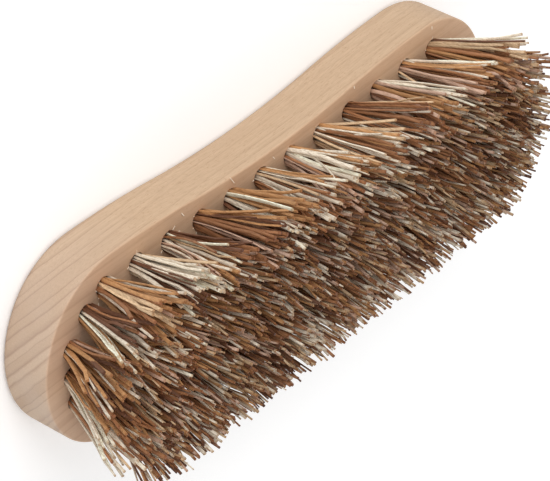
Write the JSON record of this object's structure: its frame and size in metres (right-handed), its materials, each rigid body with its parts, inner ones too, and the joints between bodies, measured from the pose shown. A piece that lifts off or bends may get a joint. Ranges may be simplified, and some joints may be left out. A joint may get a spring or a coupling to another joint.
{
  "type": "scrubbing brush",
  "caption": "Waisted wooden scrubbing brush with splayed tufts of mixed stiff plant fibre, each held by a wire staple in a drilled hole.",
  "frame": {"origin": "middle of the flat back of the block, which the brush lies on with its bristles up", "axes": "+X along the length of the block, +Y across it, +Z from the back through the block towards the tips of the bristles"},
  "size_m": [0.2142, 0.0678, 0.0481],
  "materials": {
    "beech": "untreated, finely sanded",
    "plant_fibre": "raw mixed fibre, cream to dark brown",
    "staple_wire": "drawn wire"
  },
  "bodies": {
    "root": {"block": "beech", "tufts_front_outer_left": "plant_fibre", "tufts_front_outer_right": "plant_fibre", "tufts_front_inner_left": "plant_fibre", "tufts_front_inner_right": "plant_fibre", "tufts_middle_left": "plant_fibre", "tufts_middle_right": "plant_fibre", "tufts_back_inner_left": "plant_fibre", "tufts_back_inner_right": "plant_fibre", "tufts_back_outer_left": "plant_fibre", "tufts_back_outer_right": "plant_fibre", "tufts_end_left": "plant_fibre", "tufts_end_right": "plant_fibre", "staples_front_outer_left": "staple_wire", "staples_front_outer_right": "staple_wire", "staples_front_inner_left": "staple_wire", "staples_front_inner_right": "staple_wire", "staples_middle_left": "staple_wire", "staples_middle_right": "staple_wire", "staples_back_inner_left": "staple_wire", "staples_back_inner_right": "staple_wire", "staples_back_outer_left": "staple_wire", "staples_back_outer_right": "staple_wire", "staples_end_left": "staple_wire", "staples_end_right": "staple_wire"}
  },
  "joints": []
}
